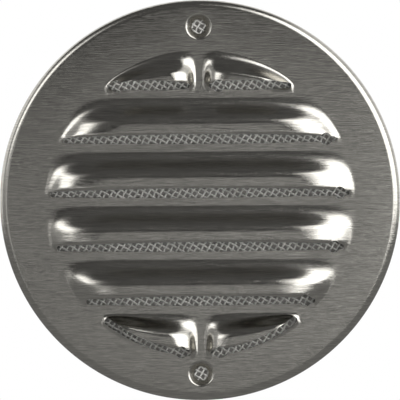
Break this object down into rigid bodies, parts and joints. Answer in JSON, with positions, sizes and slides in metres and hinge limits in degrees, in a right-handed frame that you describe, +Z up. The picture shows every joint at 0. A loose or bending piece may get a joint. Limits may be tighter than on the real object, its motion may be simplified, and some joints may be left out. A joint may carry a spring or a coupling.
{
  "type": "round vent cover",
  "caption": "Round louvred vent cover pressed from brushed stainless sheet, with a rolled rim, countersunk screw holes and an insect mesh behind the louvres.",
  "frame": {"origin": "centre of the cover in the wall plane, where the turned-in rim meets the wall", "axes": "+Z up, +Y into the wall, louvres face -Y and open downwards"},
  "size_m": [0.125, 0.0086, 0.125],
  "materials": {
    "cover_steel": "stainless steel, brushed along X",
    "mesh_wire": "drawn wire, woven"
  },
  "bodies": {
    "root": {"louvred_cover": "cover_steel", "insect_mesh": "mesh_wire"}
  },
  "joints": []
}
